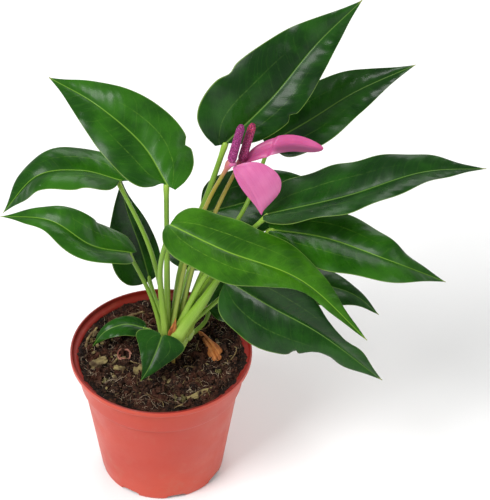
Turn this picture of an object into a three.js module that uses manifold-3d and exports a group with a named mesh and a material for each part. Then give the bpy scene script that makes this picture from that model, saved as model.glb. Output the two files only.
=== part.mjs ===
// Potted anthurium: a young flamingo-flower plant in a 12 cm plastic nursery pot.
// Units are millimetres, +Z is up, the origin is the centre of the pot's flat underside,
// and -Y is the side that the plant is looked at from.
import * as THREE from "three";
import { mergeVertices } from "three/addons/utils/BufferGeometryUtils.js";
import Module from "manifold-3d";

// ---------------------------------------------------------------- pot
const POT_HEIGHT = 100;
const RIM_RADIUS = 60;
const FOOT_RADIUS = 41.5;
const BODY_TOP_RADIUS = 52;
const BAND_BOTTOM_RADIUS = 54;
const BAND_TOP_RADIUS = 56;
const BAND_HEIGHT = 24;
const LIP_HEIGHT = 4.5;
const POT_WALL = 1.6;
const FLOOR_THICKNESS = 2;
const FOOT_ROUNDING = 1.5;
const POT_SEGMENTS = 48;
const DRAIN_SLOTS = 8;
const DRAIN_SLOT_WIDTH = 14;
const DRAIN_SLOT_HEIGHT = 3.4;
const DRAIN_SLOT_DEPTH = 7;
const DRAIN_SLOT_TURN = -75;

// ---------------------------------------------------------------- potting mix
const SOIL_BELOW_RIM = 8.5;
const SOIL_DOME = 1.5;
const CLEARANCE = 0.3;
const SOIL_TOP = POT_HEIGHT - SOIL_BELOW_RIM;
const WALL_MARGIN = 6;

// ---------------------------------------------------------------- plant
const PLANT_SCALE = 1;
const CROWN_CENTRE = [8, 2];
const CROWN_HEIGHT = 20;
const CROWN_RADIUS = 10;
const OUTER_RING_RADIUS = 8.2;
const OUTER_RING_SLOTS = 11;
const OUTER_RING_TURN = 5;
const INNER_RING_RADIUS = 4.1;
const INNER_RING_SLOTS = 6;
const INNER_RING_TURN = 20;
const PETIOLE_RADIUS = 1.6;
const PETIOLE_SIDES = 8;
const PETIOLE_STEPS = 10;
const STEM_RISE = 5;
const STEM_TAPER = 0.8;
const BLADE_THICKNESS = 0.9;
const BLADE_ROWS = 10;
const BLADE_COLUMNS = 6;

const GREEN_DARK = 0x2c5a2a;
const GREEN_MID = 0x3f7532;
const GREEN_LIGHT = 0x5b9440;
const STEM_GREEN = 0x86a850;

// Margin of a leaf blade from base to tip: [part of the midrib's length, part of the half width].
const LEAF_MARGIN = [
  [0.0, 0.28], [0.02, 0.62], [0.07, 0.86], [0.15, 0.97], [0.27, 1.0],
  [0.42, 0.93], [0.58, 0.72], [0.74, 0.44], [0.88, 0.18], [1.0, 0.05],
];

// Leaves. All places are measured from the centre of the crown's top.
//   rib    points of the midrib, from the petiole joint to the tip
//   half   half widths of the blade, [left of the midrib, right of it], seen tip up
//   face   direction that the upper side faces
//   fold   degrees that both halves rise from flat, towards the upper side
//   lobes  length of the two round lobes behind the petiole joint
//   slant  how much further forward the left lobe sits than the right one
//   root   where the petiole leaves the crown: [ring, slot], or a point
//   bend   points that the petiole passes on its way
const LEAVES = [
  { name: "upper_left", colour: GREEN_MID, root: ["inner", 3], bend: [[-5, 4, 55]],
    rib: [[-3, 9, 117], [-20, 28, 135], [-49, 44, 153], [-80, 66, 157]],
    half: [27, 26], face: [0.4, -0.75, 0.5], fold: 8, lobes: 2, slant: 1 },
  { name: "left_arching", colour: GREEN_MID, root: ["inner", 2], bend: [[-15, 14, 60]],
    rib: [[-35, 38, 97], [-60, 41, 102], [-88, 37, 100], [-111, 33, 72]],
    half: [23, 20], face: [0.4, 0, 0.9], fold: 9, lobes: 3, slant: 3 },
  { name: "left_lower", colour: GREEN_LIGHT, root: ["outer", 6], bend: [[-15, -2, 36]],
    rib: [[-26, -3, 71], [-50, -16, 88], [-76, -8, 101], [-109, 6, 92]],
    half: [18, 18], face: [0, -0.2, 1], fold: 14, lobes: 2, slant: 2 },
  { name: "left_upright", colour: GREEN_DARK, root: [-6.6, 6.4, 1.8], bend: [[-12, 21, 8]],
    rib: [[-17, 34, 17], [-21, 42, 37], [-28, 46, 66], [-31, 46, 92]],
    half: [23, 12], face: [0.6, -0.8, 0.1], fold: 8, lobes: 2, slant: 0 },
  { name: "top_centre", colour: GREEN_MID, root: ["inner", 1], bend: [[6, 12, 50], [24, 24, 106]],
    rib: [[32, 30, 134], [60, 36, 163], [87, 54, 185], [115, 56, 227]],
    half: [31, 20], face: [0.3, -0.6, 0.75], fold: 12, lobes: 3, slant: -2 },
  { name: "top_back", colour: GREEN_DARK, root: ["outer", 1], bend: [[22, 11, 52], [45, 19, 90]],
    rib: [[60, 48, 121], [85, 58, 132], [115, 70, 147], [152, 74, 166]],
    half: [22, 22], face: [-0.5, -0.6, 0.6], fold: 6, lobes: 1, slant: -1 },
  { name: "right_long", colour: GREEN_DARK, root: ["inner", 5], bend: [[24, -1, 56]],
    rib: [[59, 4, 99], [109, 3, 116], [155, 9, 131], [197, 24, 123]],
    half: [26, 21], face: [0.4, 0, 0.9], fold: 14, lobes: 2, slant: 0 },
  { name: "back_flower", colour: GREEN_DARK, root: ["outer", 2], bend: [[12, 18, 40]],
    rib: [[22, 33, 76], [45, 43, 76], [70, 52, 80], [96, 64, 78]],
    half: [22, 24], face: [-0.1, -0.4, 0.9], fold: 14, lobes: 4, slant: 0 },
  { name: "front_large", colour: GREEN_MID, root: ["outer", 7], bend: [[-5, -7, 52]],
    rib: [[-1, -10, 101], [34, -25, 93], [82, -36, 79], [123, -60, 52]],
    half: [23, 22], face: [0.35, -0.4, 0.85], fold: 3, lobes: 1, slant: 1 },
  { name: "right_lower", colour: GREEN_LIGHT, root: ["outer", 0], bend: [[30, 6, 50]],
    rib: [[66, 6, 82], [96, 6, 77], [137, -14, 78], [175, -4, 52]],
    half: [19, 26], face: [0, -0.3, 0.95], fold: 8, lobes: 3, slant: 0 },
  { name: "right_hidden", colour: GREEN_DARK, root: ["outer", 10], bend: [[28, 2, 26]],
    rib: [[59, 11, 54], [81, 9, 42], [115, 5, 33], [134, 0, 19]],
    half: [15, 23], face: [0, -0.1, 1], fold: 2, lobes: 2, slant: 3 },
  { name: "front_drooping", colour: GREEN_DARK, root: ["outer", 9], bend: [[20, -3, 28], [30, -4, 48]],
    rib: [[35, -11, 56], [60, -27, 51], [98, -41, 40], [135, -48, 6]],
    half: [29, 30], face: [-0.5, -0.8, 0.3], fold: 8, lobes: 0, slant: 1 },
  { name: "low_right", colour: GREEN_DARK, root: [8.6, 3.3, -8], bend: [[20, 12, -2]],
    rib: [[31, 20, 10], [50, 28, 18], [68, 32, 20], [84, 36, 14]],
    half: [17, 17], face: [0, -0.4, 0.9], fold: 6, lobes: 1, slant: 0 },
  { name: "back_low", colour: GREEN_DARK, root: ["outer", 3], bend: [[5, 24, 14]],
    rib: [[9, 42, 26], [14, 58, 34], [20, 74, 36], [26, 92, 30]],
    half: [18, 18], face: [0, -0.3, 0.9], fold: 8, lobes: 1, slant: 0 },
  { name: "small_left", colour: GREEN_MID, insidePot: true, root: [-8.9, 2.6, -9], bend: [[-14, 4, -4]],
    rib: [[-19, 5, -1], [-32, 7, 0], [-45, 4, -4], [-54, 3, -17]],
    half: [9, 6], face: [0.1, -0.3, 1], fold: 4, lobes: 1, slant: 0 },
  { name: "small_front", colour: GREEN_MID, root: [-4.6, -8.1, -9], bend: [[-6, -11, 0]],
    rib: [[-7, -14, 9], [-10, -19, 2], [-15, -28, -6], [-20, -34, -12]],
    half: [16, 14], face: [0, -0.9, 0.3], fold: 4, lobes: 5, slant: 0 },
];

// Flowers: a peduncle from the crown, a spadix at its head, and a spathe under the spadix.
const FLOWERS = [
  { name: "front_flower", root: ["inner", 4], bend: [[9, 5, 60], [22, 8, 104]],
    spadix: [[37.2, 6, 140], [40, 6, 154], [43.2, 6, 168]],
    spathe: [[39.3, 4.6, 138.7], [51, 2, 137], [57, 0, 125], [56, -2, 103.5]],
    half: [12, 9], face: [0.2, -0.95, 0.3], fold: 10 },
  { name: "back_flower", root: ["inner", 0], bend: [[15, 7, 60], [30, 12, 102]],
    spadix: [[43, 11.4, 136.5], [46.8, 11.8, 151], [50.6, 12, 165.5]],
    spathe: [[47.1, 13.3, 136.4], [57.4, 14, 144.5], [73, 16, 149.5], [93.5, 14, 145]],
    half: [9, 9], face: [0, 0.3, 0.95], fold: 25 },
];

// Dry papery sheaths left from old leaves: one between the stems, one fallen on the mix.
const CATAPHYLL = {
  rib: [[-0.5, -8.6, 0.8], [-0.3, -8.8, 8], [1.2, -9, 14], [2.2, -9.2, 20]],
  half: [2, 2], face: [0, -1, 0], fold: 0,
};
const FALLEN_BRACT = {
  rib: [[24, 24, 0.9], [29, 14, 1.8], [34, 5, 1.5], [38, -4, 0.9]],
  half: [5, 4.5], face: [0, 0, 1], fold: 0,
};
// An aerial root from half way up the crown down to the mix: distances out from the
// crown's axis at its start, middle and end.
const AERIAL_ROOT = { reach: [8.9, 8.2, 7.6], rise: 0.55, radius: 1.2 };

// Things lying on the mix, placed from the pot's axis.
const BARK_CHIPS = [
  { at: [-41, -8], size: [12, 6, 3], turn: 35 },
  { at: [-27, -13], size: [7, 4, 2.5], turn: -10 },
  { at: [-14, -14], size: [9, 5, 3], turn: 60 },
  { at: [27, -36], size: [20, 4, 2], turn: 30 },
];
const SURFACE_ROOTS = [
  { name: "surface_root_left", points: [[-50, 4], [-49, 14], [-44, 24]], radius: 1 },
  { name: "surface_root_back", points: [[-31, 32], [-23, 37], [-13, 43]], radius: 1.2 },
];
const PEDUNCLE_RADIUS = 1.6;
const SPADIX_RADIUS = 2.8;
const SPATHE_THICKNESS = 0.9;
const SPATHE_MARGIN = [
  [0.0, 0.2], [0.04, 0.62], [0.14, 0.92], [0.26, 1.0], [0.4, 0.95],
  [0.55, 0.78], [0.7, 0.55], [0.83, 0.33], [0.93, 0.16], [1.0, 0.04],
];

const wasm = await Module();
wasm.setup();

const group = new THREE.Group();
const crownTop = new THREE.Vector3(CROWN_CENTRE[0], CROWN_CENTRE[1], SOIL_TOP + SOIL_DOME
  + CLEARANCE + CROWN_HEIGHT * PLANT_SCALE);

function addPiece(name, geometry, colour, roughness) {
  const material = new THREE.MeshStandardMaterial({ color: colour, roughness, metalness: 0 });
  const mesh = new THREE.Mesh(geometry, material);
  mesh.name = name;
  group.add(mesh);
  return mesh;
}

// A point given from the centre of the crown's top, in the part's own frame.
function fromCrown(place) {
  return new THREE.Vector3(...place).multiplyScalar(PLANT_SCALE).add(crownTop);
}

function smoothCurve(points) {
  return new THREE.CatmullRomCurve3(points, false, "catmullrom", 0.5);
}

function bare(geometry) {
  const copy = geometry.clone();
  copy.deleteAttribute("normal");
  copy.deleteAttribute("uv");
  return mergeVertices(copy, 1e-5);
}

// Turns the shared vertices of a geometry into a manifold-3d solid, and back.
function toSolid(geometry) {
  const merged = bare(geometry);
  return new wasm.Manifold(new wasm.Mesh({
    numProp: 3,
    vertProperties: Float32Array.from(merged.attributes.position.array),
    triVerts: Uint32Array.from(merged.index.array),
  }));
}

function toGeometry(solid) {
  const mesh = solid.getMesh();
  const geometry = new THREE.BufferGeometry();
  geometry.setAttribute("position", new THREE.BufferAttribute(mesh.vertProperties, 3));
  geometry.setIndex(new THREE.BufferAttribute(mesh.triVerts, 1));
  geometry.computeVertexNormals();
  return geometry;
}

// A revolved solid about the Z axis from a profile of [radius, height] points.
function revolve(profile, segments) {
  const points = profile.map(([radius, height]) => new THREE.Vector2(radius, height));
  const geometry = new THREE.LatheGeometry(points, segments);
  geometry.rotateX(Math.PI / 2);
  return geometry;
}

// A closed round rod along a curve; radiusAt gives its radius from 0 (start) to 1 (end).
function rod(curve, radiusAt, sides, steps) {
  const geometry = new THREE.CylinderGeometry(1, 1, 1, sides, steps);
  const frames = curve.computeFrenetFrames(steps, false);
  const position = geometry.attributes.position;
  const vertex = new THREE.Vector3();
  for (let i = 0; i < position.count; i += 1) {
    vertex.fromBufferAttribute(position, i);
    const step = Math.round((vertex.y + 0.5) * steps);
    const along = step / steps;
    const radius = radiusAt(along);
    const place = curve.getPointAt(along);
    place.addScaledVector(frames.normals[step], vertex.x * radius);
    place.addScaledVector(frames.binormals[step], -vertex.z * radius);
    position.setXYZ(i, place.x, place.y, place.z);
  }
  geometry.computeVertexNormals();
  return geometry;
}

// A thin curved blade: a flat box bent over its midrib, with a pointed margin.
function blade(spec, margin, thickness) {
  const rib = smoothCurve(spec.rib);
  const length = rib.getLength();
  const marginCurve = smoothCurve(margin.map(([x, y]) => new THREE.Vector3(x, y, 0)));
  const facing = new THREE.Vector3(...spec.face).normalize();
  const lobe = (spec.lobes ?? 0) * PLANT_SCALE / length;
  const fold = THREE.MathUtils.degToRad(spec.fold);
  const backwards = rib.getTangentAt(0);
  const geometry = new THREE.BoxGeometry(1, 1, 1, BLADE_ROWS, BLADE_COLUMNS, 1);
  const position = geometry.attributes.position;
  for (let i = 0; i < position.count; i += 1) {
    const row = position.getX(i) + 0.5;
    const across = position.getY(i) * 2;
    const side = Math.abs(across);
    const edge = marginCurve.getPoint(row);
    const behind = lobe * Math.max(0, 1 - row / 0.25) * side;
    const ahead = (spec.slant ?? 0) * PLANT_SCALE / length * (1 - row) * across;
    const along = THREE.MathUtils.lerp(row ** 1.15, edge.x, side) - behind + ahead;
    const onRib = THREE.MathUtils.clamp(along, 0, 1);
    const centre = rib.getPointAt(onRib).addScaledVector(backwards, Math.min(along, 0) * length);
    const tangent = rib.getTangentAt(onRib);
    const normal = facing.clone().addScaledVector(tangent, -facing.dot(tangent)).normalize();
    const left = new THREE.Vector3().crossVectors(normal, tangent);
    const halfWidth = (across > 0 ? spec.half[0] : spec.half[1]) * PLANT_SCALE;
    const reach = across * edge.y * halfWidth;
    centre.addScaledVector(left, reach * Math.cos(fold));
    centre.addScaledVector(normal, Math.abs(reach) * Math.sin(fold) + position.getZ(i) * thickness);
    position.setXYZ(i, centre.x, centre.y, centre.z);
  }
  geometry.computeVertexNormals();
  return geometry;
}

// The place where a stem leaves the crown.
function rootPoint(root) {
  if (typeof root[0] === "number") {
    return fromCrown(root);
  }
  const [ring, slot] = root;
  if (ring === "centre") {
    return fromCrown([0, 0, CLEARANCE]);
  }
  const outer = ring === "outer";
  const radius = outer ? OUTER_RING_RADIUS : INNER_RING_RADIUS;
  const slots = outer ? OUTER_RING_SLOTS : INNER_RING_SLOTS;
  const turn = outer ? OUTER_RING_TURN : INNER_RING_TURN;
  const angle = THREE.MathUtils.degToRad(turn + 360 * slot / slots);
  return fromCrown([radius * Math.cos(angle), radius * Math.sin(angle), CLEARANCE]);
}

// A stem from its root to just below the joint it carries. The more it leans away from
// the direction of the piece it carries, the more room its end is given.
function stem(spec, joint, ahead, radius) {
  const start = rootPoint(spec.root);
  const bends = spec.bend.map(fromCrown);
  const last = bends[bends.length - 1];
  const direction = joint.clone().sub(last).normalize();
  const lean = direction.angleTo(ahead.clone().sub(joint));
  const endRadius = radius * STEM_TAPER * PLANT_SCALE;
  const under = BLADE_THICKNESS / 2;
  const slanted = CLEARANCE + 0.85 * (endRadius + under) * Math.sin(lean);
  const square = (CLEARANCE + under + endRadius * Math.max(0, Math.cos(lean))) / Math.sin(lean);
  const room = lean < Math.PI * 0.55 ? Math.min(slanted, square) : slanted;
  const end = joint.clone().addScaledVector(direction, -room);
  const rise = start.clone();
  rise.z += STEM_RISE * PLANT_SCALE;
  const first = typeof spec.root[0] === "number" ? [start] : [start, rise];
  const curve = smoothCurve([...first, ...bends, end]);
  const thickness = (along) => radius * PLANT_SCALE
    * THREE.MathUtils.lerp(1, STEM_TAPER, along);
  return rod(curve, thickness, PETIOLE_SIDES, PETIOLE_STEPS);
}

function makePot() {
  const bandBottom = POT_HEIGHT - BAND_HEIGHT;
  const lipBottom = POT_HEIGHT - LIP_HEIGHT;
  const profile = [
    [0, 0],
    [FOOT_RADIUS - FOOT_ROUNDING, 0],
    [FOOT_RADIUS, FOOT_ROUNDING],
    [BODY_TOP_RADIUS, bandBottom],
    [BAND_BOTTOM_RADIUS, bandBottom + 0.8],
    [BAND_TOP_RADIUS, lipBottom - 2],
    [RIM_RADIUS - 0.8, lipBottom],
    [RIM_RADIUS, lipBottom + 1],
    [RIM_RADIUS, POT_HEIGHT - 1],
    [RIM_RADIUS - 0.6, POT_HEIGHT],
    [RIM_RADIUS - POT_WALL, POT_HEIGHT],
    [RIM_RADIUS - POT_WALL - 0.4, lipBottom + 1.8],
    [BAND_TOP_RADIUS - POT_WALL, lipBottom],
    [BAND_BOTTOM_RADIUS - POT_WALL, bandBottom + 0.8],
    [BODY_TOP_RADIUS - POT_WALL, bandBottom - 1.5],
    [FOOT_RADIUS - POT_WALL, FLOOR_THICKNESS],
    [0, FLOOR_THICKNESS],
  ];
  let solid = toSolid(revolve(profile, POT_SEGMENTS));
  for (let i = 0; i < DRAIN_SLOTS; i += 1) {
    const depth = DRAIN_SLOT_DEPTH + 4;
    const slot = new THREE.BoxGeometry(depth, DRAIN_SLOT_WIDTH, DRAIN_SLOT_HEIGHT * 2);
    slot.translate(FOOT_RADIUS + 4 - depth / 2, 0, 0);
    slot.rotateZ(THREE.MathUtils.degToRad(DRAIN_SLOT_TURN + 360 * i / DRAIN_SLOTS));
    solid = solid.subtract(toSolid(slot));
  }
  addPiece("pot", toGeometry(solid), 0xd4624a, 0.45);
}

function makeSoil() {
  const bandBottom = POT_HEIGHT - BAND_HEIGHT;
  const inset = POT_WALL + CLEARANCE + 0.1;
  const profile = [
    [0, FLOOR_THICKNESS + CLEARANCE],
    [FOOT_RADIUS - inset, FLOOR_THICKNESS + CLEARANCE],
    [BODY_TOP_RADIUS - inset, bandBottom - 1.5],
    [BAND_BOTTOM_RADIUS - inset, bandBottom + 1.4],
    ...soilSurface(),
  ];
  addPiece("potting_mix", revolve(profile, POT_SEGMENTS), 0x3a2a22, 1);
}

function makeCrown() {
  const base = SOIL_TOP + SOIL_DOME + CLEARANCE;
  const top = crownTop.z;
  const profile = [
    [0, base],
    [CROWN_RADIUS * 0.45 * PLANT_SCALE, base],
    [CROWN_RADIUS * 0.6 * PLANT_SCALE, base + (top - base) * 0.4],
    [CROWN_RADIUS * 0.9 * PLANT_SCALE, base + (top - base) * 0.75],
    [CROWN_RADIUS * PLANT_SCALE, top],
    [0, top],
  ];
  const geometry = revolve(profile, 16);
  geometry.translate(crownTop.x, crownTop.y, 0);
  addPiece("crown", geometry, 0x6f7a3c, 0.8);
}

// A low leaf whose tip would pass the pot's inner wall is drawn in towards the crown.
function keepInsidePot(rib) {
  const tip = rib[rib.length - 1];
  const room = BAND_TOP_RADIUS - POT_WALL - WALL_MARGIN;
  const shrink = Math.min(1, room / Math.hypot(tip.x, tip.y));
  for (const point of rib) {
    point.x = THREE.MathUtils.lerp(crownTop.x, point.x, shrink);
    point.y = THREE.MathUtils.lerp(crownTop.y, point.y, shrink);
  }
}

function makeLeaf(spec) {
  const rib = spec.rib.map(fromCrown);
  if (spec.insidePot) {
    keepInsidePot(rib);
  }
  addPiece(`leaf_${spec.name}`, blade({ ...spec, rib }, LEAF_MARGIN, BLADE_THICKNESS),
    spec.colour, 0.35);
  addPiece(`petiole_${spec.name}`, stem(spec, rib[0], rib[1], PETIOLE_RADIUS),
    STEM_GREEN, 0.5);
}

function makeFlower(spec) {
  const [head, , spadixTip] = spec.spadix.map(fromCrown);
  addPiece(`peduncle_${spec.name}`, stem(spec, head, spadixTip, PEDUNCLE_RADIUS), 0x9a8f4a, 0.5);
  const thickness = (along) => SPADIX_RADIUS * PLANT_SCALE
    * (1 - 0.25 * along) * Math.min(1, 0.55 + 2.2 * Math.min(along, 1 - along));
  const spadix = rod(smoothCurve(spec.spadix.map(fromCrown)), thickness, 10, 8);
  addPiece(`spadix_${spec.name}`, spadix, 0x8e2f6e, 0.6);
  addPiece(`spathe_${spec.name}`, blade({ ...spec, rib: spec.spathe.map(fromCrown) }, SPATHE_MARGIN,
    SPATHE_THICKNESS), 0xd26aa8, 0.35);
}

// The mix's surface: [distance from the pot's axis, height].
function soilSurface() {
  const bandBottom = POT_HEIGHT - BAND_HEIGHT;
  const inset = POT_WALL + CLEARANCE + 0.1;
  const bandInside = POT_HEIGHT - LIP_HEIGHT - (bandBottom + 0.8);
  const slope = (BAND_TOP_RADIUS - BAND_BOTTOM_RADIUS) / bandInside;
  const edge = BAND_BOTTOM_RADIUS + slope * (SOIL_TOP - bandBottom - 0.8) - inset;
  return [
    [edge, SOIL_TOP],
    [edge * 0.6, SOIL_TOP + SOIL_DOME * 0.8],
    [edge * 0.35, SOIL_TOP + SOIL_DOME],
    [0, SOIL_TOP + SOIL_DOME],
  ];
}

function soilHeight(radius) {
  const surface = soilSurface();
  for (let i = 1; i < surface.length; i += 1) {
    const [outer, low] = surface[i - 1];
    const [inner, high] = surface[i];
    if (radius >= inner) {
      return THREE.MathUtils.mapLinear(Math.min(radius, outer), inner, outer, high, low);
    }
  }
  return SOIL_TOP + SOIL_DOME;
}

function makeSheaths() {
  const sheath = (spec) => blade(spec, LEAF_MARGIN, BLADE_THICKNESS);
  addPiece("cataphyll", sheath({ ...CATAPHYLL, rib: CATAPHYLL.rib.map(fromCrown) }), 0xa8642c, 0.8);
  const onSoil = ([x, y, lift]) => new THREE.Vector3(x, y, soilHeight(Math.hypot(x, y)) + lift);
  addPiece("fallen_bract", sheath({ ...FALLEN_BRACT, rib: FALLEN_BRACT.rib.map(onSoil) }),
    0x9c5a2c, 0.8);
}

function makeRoots() {
  const foot = soilHeight(crownTop.x) + CLEARANCE + 0.1;
  const start = foot + (crownTop.z - foot) * AERIAL_ROOT.rise;
  const heights = [start, (start + foot) / 2, foot];
  const aerial = smoothCurve(heights.map((height, index) => new THREE.Vector3(
    crownTop.x + 0.3, crownTop.y - AERIAL_ROOT.reach[index] * PLANT_SCALE, height)));
  addPiece("aerial_root", rod(aerial, () => AERIAL_ROOT.radius * PLANT_SCALE, 8, 3), 0xb9a24a, 0.7);
  for (const root of SURFACE_ROOTS) {
    const lift = root.radius + CLEARANCE;
    const points = root.points.map(([x, y]) =>
      new THREE.Vector3(x, y, soilHeight(Math.hypot(x, y)) + lift));
    addPiece(root.name, rod(smoothCurve(points), () => root.radius, 8, 5), 0x9c7f5c, 0.9);
  }
}

function makeBarkChips() {
  BARK_CHIPS.forEach((chip, index) => {
    const [length, width, thickness] = chip.size;
    const mesh = addPiece(`bark_chip_${index + 1}`, new THREE.BoxGeometry(length, width, thickness),
      0x8a6a48, 0.95);
    mesh.rotation.z = THREE.MathUtils.degToRad(chip.turn);
    const height = soilHeight(Math.hypot(...chip.at) - width);
    mesh.position.set(chip.at[0], chip.at[1], height + CLEARANCE + thickness / 2);
  });
}

makePot();
makeSoil();
makeCrown();
LEAVES.forEach(makeLeaf);
FLOWERS.forEach(makeFlower);
makeSheaths();
makeRoots();
makeBarkChips();

export default group;
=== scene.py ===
"""Potted anthurium: a young flamingo-flower plant in a 12 cm plastic nursery pot.

Lengths in the tables are millimetres, in the part's own frame: +Z up, the origin at the
centre of the pot's flat underside, and -Y towards the viewer.
"""
import math

import bmesh
import bpy
import numpy as np
from mathutils import Matrix, Vector, noise


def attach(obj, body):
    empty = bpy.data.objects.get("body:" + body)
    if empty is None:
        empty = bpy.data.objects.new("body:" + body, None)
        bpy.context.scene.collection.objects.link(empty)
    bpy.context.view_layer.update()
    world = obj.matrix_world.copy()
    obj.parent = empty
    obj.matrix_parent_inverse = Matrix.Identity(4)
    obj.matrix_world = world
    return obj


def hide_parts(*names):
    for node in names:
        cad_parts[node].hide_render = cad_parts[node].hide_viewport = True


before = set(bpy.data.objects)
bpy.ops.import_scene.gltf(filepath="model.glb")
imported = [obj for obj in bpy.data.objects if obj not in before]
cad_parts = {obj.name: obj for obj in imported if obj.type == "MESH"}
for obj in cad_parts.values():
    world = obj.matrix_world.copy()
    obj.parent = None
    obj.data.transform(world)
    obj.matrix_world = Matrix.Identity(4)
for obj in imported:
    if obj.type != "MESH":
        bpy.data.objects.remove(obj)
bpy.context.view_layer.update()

MM = 0.001

# ---- camera
CAMERA_TARGET = Vector((54.1, 0.0, 187.5)) * MM
CAMERA_DISTANCE = 1.443
CAMERA_TILT = math.radians(40.8)
CAMERA_ROLL = math.radians(1.0)
CAMERA_LENS = 163.8


def add_object(name, data):
    item = bpy.data.objects.new(name, data)
    bpy.context.scene.collection.objects.link(item)
    return item


def make_camera():
    forward = Vector((0, math.cos(CAMERA_TILT), -math.sin(CAMERA_TILT)))
    level = Vector((1, 0, 0))
    rise = level.cross(forward)
    right = math.cos(CAMERA_ROLL) * level + math.sin(CAMERA_ROLL) * rise
    up = math.cos(CAMERA_ROLL) * rise - math.sin(CAMERA_ROLL) * level
    data = bpy.data.cameras.new("camera")
    data.lens = CAMERA_LENS
    data.sensor_width = 36
    data.clip_end = 20
    camera = add_object("camera", data)
    turn = Matrix((right, up, -forward)).transposed().to_4x4()
    camera.matrix_world = Matrix.Translation(CAMERA_TARGET - CAMERA_DISTANCE * forward) @ turn
    bpy.context.scene.camera = camera


make_camera()

# ---- sizes, as in the CAD part
POT_HEIGHT = 100
RIM_RADIUS = 60
FOOT_RADIUS = 41.5
BODY_TOP_RADIUS = 52
BAND_BOTTOM_RADIUS = 54
BAND_TOP_RADIUS = 56
BAND_HEIGHT = 24
LIP_HEIGHT = 4.5
POT_WALL = 1.5
FLOOR_THICKNESS = 2
# The underside is hollow by POT_DISH inside its ring, and the ring's outer edge is rounded.
POT_DISH = 0.9
FOOT_ROUNDING = 1.5
# The inside of the pot from the top of its band to its lip: (height, radius), rising.
INNER_WALL = [(93.0, 54.3), (94.9, 54.5), (95.6, 54.9), (96.4, 56.4), (96.9, 57.5), (97.5, 58.1)]
DRAIN_SLOTS = 8
DRAIN_SLOT_WIDTH = 14
DRAIN_SLOT_HEIGHT = 3.4
DRAIN_SLOT_DEPTH = 7
DRAIN_SLOT_TURN = -75
SOIL_TOP = 91.5
SOIL_DOME = 1.5
CROWN = np.array([8.0, 2.0, 113.3])
CROWN_RADIUS = 10
# Rings of stems on the crown: (radius, places, turn of the first place in degrees).
RINGS = {"outer": (8.2, 11, 5), "inner": (4.1, 6, 20)}
STEM_RISE = 5

# The mix is heaped up towards the pot's wall, and reaches a little way into it.
HEAP_START = 36
HEAP_WIDTH = 19
HEAP_HEIGHT = 5.8
MIX_RADIUS = 54.4
MIX_INTO_WALL = 0.5
# The hidden side of the mix, from the pot's floor up: (radius, height).
MIX_SIDE = [(0, 2.4), (20, 2.4), (39.4, 2.4), (50.0, 74.3), (52.0, 77.3), (53.3, 88.0)]
FIBRE_LIMIT = 53
ROOT_LOOP = (-24, -1)
LOOP_TURN = 4.6
SURFACE_ROOTS = [("surface_root_left", [(-50, 4), (-49, 14), (-44, 24)], 1.0),
                 ("surface_root_back", [(-31, 32), (-23, 37), (-13, 43)], 1.2)]
# Chips: place, (length, width, thickness), turn.  Clods: x, y, radius of the group.
CHIPS = [((-41, -8), (12, 6, 3), 35), ((-27, -13), (7, 4, 2.5), -10),
         ((-14, -14), (9, 5, 3), 60), ((27, -36), (20, 4, 2), 30)]
CLODS = [(12, -34, 3.4), (14, -41, 2.6), (38, -14, 2.2), (-30, 26, 2.4), (-46, 12, 1.8),
         (-8, -24, 1.8), (-36, -22, 1.6), (24, -22, 1.8)]

# Margins from the joint to the tip: (part of the midrib's length, part of the half width).
LEAF_MARGIN = [
    (0.0, 0.1), (0.005, 0.42), (0.04, 0.74), (0.12, 0.93), (0.25, 1.0),
    (0.42, 0.93), (0.58, 0.73), (0.74, 0.45), (0.88, 0.18), (1.0, 0.0),
]
SMALL_LEAF_MARGIN = [
    (0.0, 0.12), (-0.04, 0.45), (-0.03, 0.76), (0.02, 0.95), (0.11, 1.0),
    (0.27, 0.84), (0.46, 0.59), (0.67, 0.34), (0.86, 0.13), (1.0, 0.0),
]
WEDGE_LEAF_MARGIN = [
    (0.0, 0.1), (0.03, 0.34), (0.08, 0.58), (0.16, 0.82), (0.28, 1.0),
    (0.44, 0.98), (0.6, 0.8), (0.75, 0.53), (0.88, 0.23), (1.0, 0.0),
]
FRONT_SPATHE_MARGIN = [
    (0.0, 0.08), (0.04, 0.3), (0.12, 0.58), (0.25, 0.84), (0.4, 0.99),
    (0.56, 1.0), (0.7, 0.82), (0.82, 0.46), (0.92, 0.15), (1.0, 0.02),
]
FRONT_SPATHE_EDGE = [
    (0.0, 0.3), (0.1, 0.66), (0.2, 0.88), (0.32, 1.0), (0.45, 0.96),
    (0.6, 0.78), (0.74, 0.5), (0.86, 0.26), (0.95, 0.12), (1.0, 0.03),
]
BACK_SPATHE_MARGIN = [
    (0.0, 0.2), (0.1, 0.42), (0.22, 0.72), (0.36, 0.93), (0.52, 1.0),
    (0.68, 0.93), (0.82, 0.75), (0.92, 0.52), (0.98, 0.27), (1.0, 0.08),
]
BRACT_MARGIN = [
    (0.0, 0.1), (0.1, 0.3), (0.22, 0.42), (0.34, 0.5), (0.46, 0.62),
    (0.58, 0.86), (0.7, 1.0), (0.82, 0.98), (0.93, 0.7), (1.0, 0.35),
]

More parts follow.
